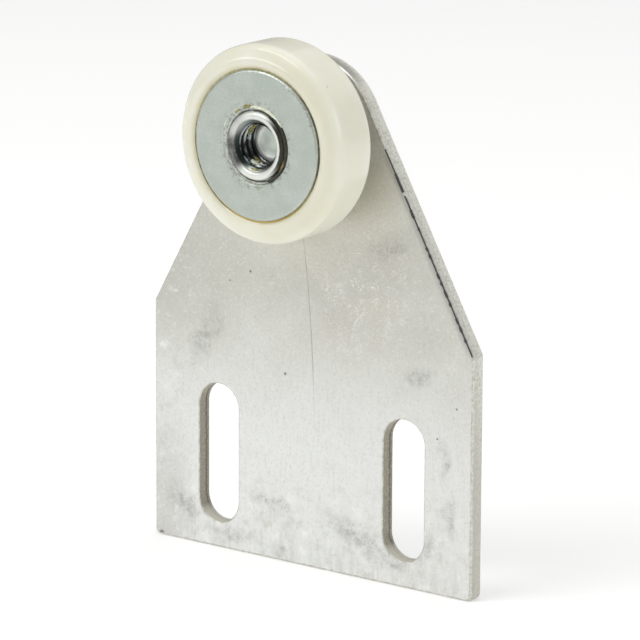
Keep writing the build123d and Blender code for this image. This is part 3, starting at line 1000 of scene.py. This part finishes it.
def make_grease():
    """Grease worked out of the bearing and left in the tapped hole; some beads paint the shade in the gap
    round the hub, and some paint glints.
    """
    face, rim = WHEEL_FRONT, HUB_FRONT - HUB_LIP_RADIUS
    # painted shade: a dark crescent in the shaded gap round the hub towards +X, with old grease
    bead("grease_and_shade_crescent", ON_SHIELD, DARK_GREASE_AND_SHADE, (7.03, rim + 0.02), (-68, 62), (0.4, 0.34), 1, 0.4)
    bead("grease_brown", ON_SHIELD, BROWN_GREASE, (7.05, rim + 0.2), (-38, -10), (0.3, 0.28), 3)
    bead("grease_fill", ON_SHIELD, PASTE, (7.14, face - 0.4), (58, 300), (0.44, 0.36), 12, 0.8)
    bead("grease_edge", ON_SHIELD, PASTE, (7.47, face - 0.17), (100, 298), (0.27, 0.16), 18)
    bead("grease_lip", ON_HUB, PASTE, (6.5, rim - 0.05), (62, 296), (0.11, 0.24), 19, 0.5)
    # painted shade: dark grease on the hub under the lip towards +X, for the shade in the gap
    bead("grease_and_shade_lip", ON_HUB, DARK_GREASE_AND_SHADE, (6.5, rim + 0.02), (-66, 64), (0.14, 0.3), 20, 0.5)
    bead("grease_curl", ON_SHIELD, PALE_GREASE_AND_GLINT, (7.95, face - 0.03), (150, 159), (0.2, 0.15), 21)
    bead("grease_trail", ON_SHIELD, OLIVE_GREASE, (7.9, face - 0.04), (276, 284), (0.12, 0.1), 22)
    # painted highlight: pale grease along the top right of the shield's hole
    bead("grease_highlight_rim", ON_SHIELD, PALE_GREASE_AND_GLINT, (7.4, face - 0.05), (34, 104), (0.42, 0.22), 4)
    bead("grease_peak", ON_SHIELD, OLIVE_GREASE, (7.6, face - 0.03), (98, 113), (0.5, 0.22), 5)
    bead("grease_fleck", ON_SHIELD, OLIVE_GREASE, (7.55, face - 0.06), (118, 131), (0.26, 0.16), 6)
    bead("grease_bore_high", ON_HUB, OLIVE_GREASE, (3.9, 17.7), (116, 162), (0.5, 0.8), 7)
    # painted highlights: bluish glints on the wall of the tapped hole
    bead("painted_glint_bore_high", ON_HUB, BLUISH_GLINT, (4.5, 19.4), (132, 168), (0.4, 0.36), 15)
    bead("painted_glint_bore_mid", ON_HUB, BLUISH_GLINT, (4.0, 17.5), (160, 176), (0.3, 0.3), 16)
    # painted highlight: pale grease glints low in the tapped hole
    bead("grease_glint_bore_pale", ON_HUB, PALE_GREASE_AND_GLINT, (4.0, 18.5), (232, 266), (0.44, 0.7), 13)
    bead("grease_bore_low", ON_HUB, OLIVE_GREASE, (4.1, 16.9), (222, 262), (0.36, 0.45), 8)
    # painted highlight: a bluish glint low in the hole
    bead("painted_glint_bore_low", ON_HUB, BLUISH_GLINT, (4.5, 19.2), (214, 240), (0.34, 0.3), 14)
    bead("grease_bore_dark", ON_HUB, DARK_GREASE_AND_SHADE, (3.95, 16.6), (284, 318), (0.32, 0.4), 17)
    bead("grease_mouth", ON_HUB, OLIVE_GREASE, (4.7, HUB_FRONT - 0.85), (252, 280), (0.34, 0.36), 10)


make_tyre()
make_shield("front_shield", WHEEL_FRONT, WHEEL_FRONT - SHIELD_THICKNESS, "shield_front")
make_shield("rear_shield", WHEEL_REAR, WHEEL_REAR + SHIELD_THICKNESS, "shield_rear")
make_hub()
make_stud()
make_nut()
make_grease()

for name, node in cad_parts.items():
    if name.startswith(("ball_", "outer_race_")):
        for place in node.material_slots:
            place.link = "OBJECT"
            place.material = BALL_STEEL if name.startswith("ball_") else RACE_STEEL


# ------------------------ camera, light and floor
CAMERA_AZIMUTH = 36.86
CAMERA_ELEVATION = 13.84
CAMERA_ROLL = 0.289
CAMERA_DISTANCE = 0.9361
CAMERA_LENS = 275.7
CAMERA_AIM = Vector((1.296, -1.864, 30.0)) * MM


def make_camera():
    """Long lens at the same height and turn as the object is usually shown."""
    camera = bpy.data.cameras.new("camera")
    camera.lens = CAMERA_LENS
    camera.sensor_width = 36
    camera.clip_start, camera.clip_end = 0.05, 50
    thing = link("camera", camera)
    a, e = math.radians(CAMERA_AZIMUTH), math.radians(CAMERA_ELEVATION)
    back = Vector((math.sin(a) * math.cos(e), -math.cos(a) * math.cos(e), math.sin(e)))
    thing.rotation_mode = "QUATERNION"
    turn = Quaternion((0, 0, 1), math.radians(CAMERA_ROLL))
    thing.rotation_quaternion = (-back).to_track_quat("-Z", "Y") @ turn
    thing.location = CAMERA_AIM + back * CAMERA_DISTANCE
    bpy.context.scene.camera = thing


def make_light(name, place, aim, wide, tall, power):
    """Soft box at a place, turned to its aim, in metres and watts."""
    light = bpy.data.lights.new(name, "AREA")
    light.shape = "RECTANGLE"
    light.size, light.size_y = wide, tall
    light.energy = power
    thing = link(name, light)
    thing.location = place
    thing.rotation_mode = "QUATERNION"
    thing.rotation_quaternion = (Vector(aim) - Vector(place)).to_track_quat("-Z", "Y")


def make_floor():
    """Wide pale floor under the plate's foot."""
    mesh = bpy.data.meshes.new("floor")
    reach, level = 6.0, PLATE_LOW.z * MM
    corners = ((-reach, -reach), (reach, -reach), (reach, reach), (-reach, reach))
    mesh.from_pydata([(x, y, level) for x, y in corners], [], [(0, 1, 2, 3)])
    floor = link("floor", mesh)
    m = Material("floor", Roughness=0.9, Emission_Color=(1, 1, 1), Emission_Strength=0.19)
    m.set(Base_Color=m.mix(m.noise(40), (0.93, 0.93, 0.925), (0.95, 0.95, 0.945)))
    mesh.materials.append(m.material)


def make_world():
    """Even white surroundings."""
    world = bpy.data.worlds.new("studio")
    bpy.context.scene.world = world
    world.use_nodes = True
    background = world.node_tree.nodes["Background"]
    background.inputs["Color"].default_value = (1, 1, 1, 1)
    background.inputs["Strength"].default_value = 0.29


make_camera()
make_world()
make_floor()
make_light("overhead", (-0.1, -0.1, 1.4), (0, 0, 0), 1.3, 1.3, 7.4)
make_light("upper_strip", (-0.46, -0.73, 1.06), (0, 0, 0.06), 0.9, 0.24, 3.4)
make_light("lower_strip", (-0.87, -1.07, 0.67), (0, 0, 0.06), 0.9, 0.42, 3.7)
make_light("back_top", (0.2, 0.85, 1.15), (0, 0, 0.08), 1.8, 1.2, 3.8)
make_light("side", (1.3, -0.2, 0.5), (0, 0, 0.03), 0.8, 0.8, 4.0)
bpy.context.scene.view_settings.view_transform = "Standard"
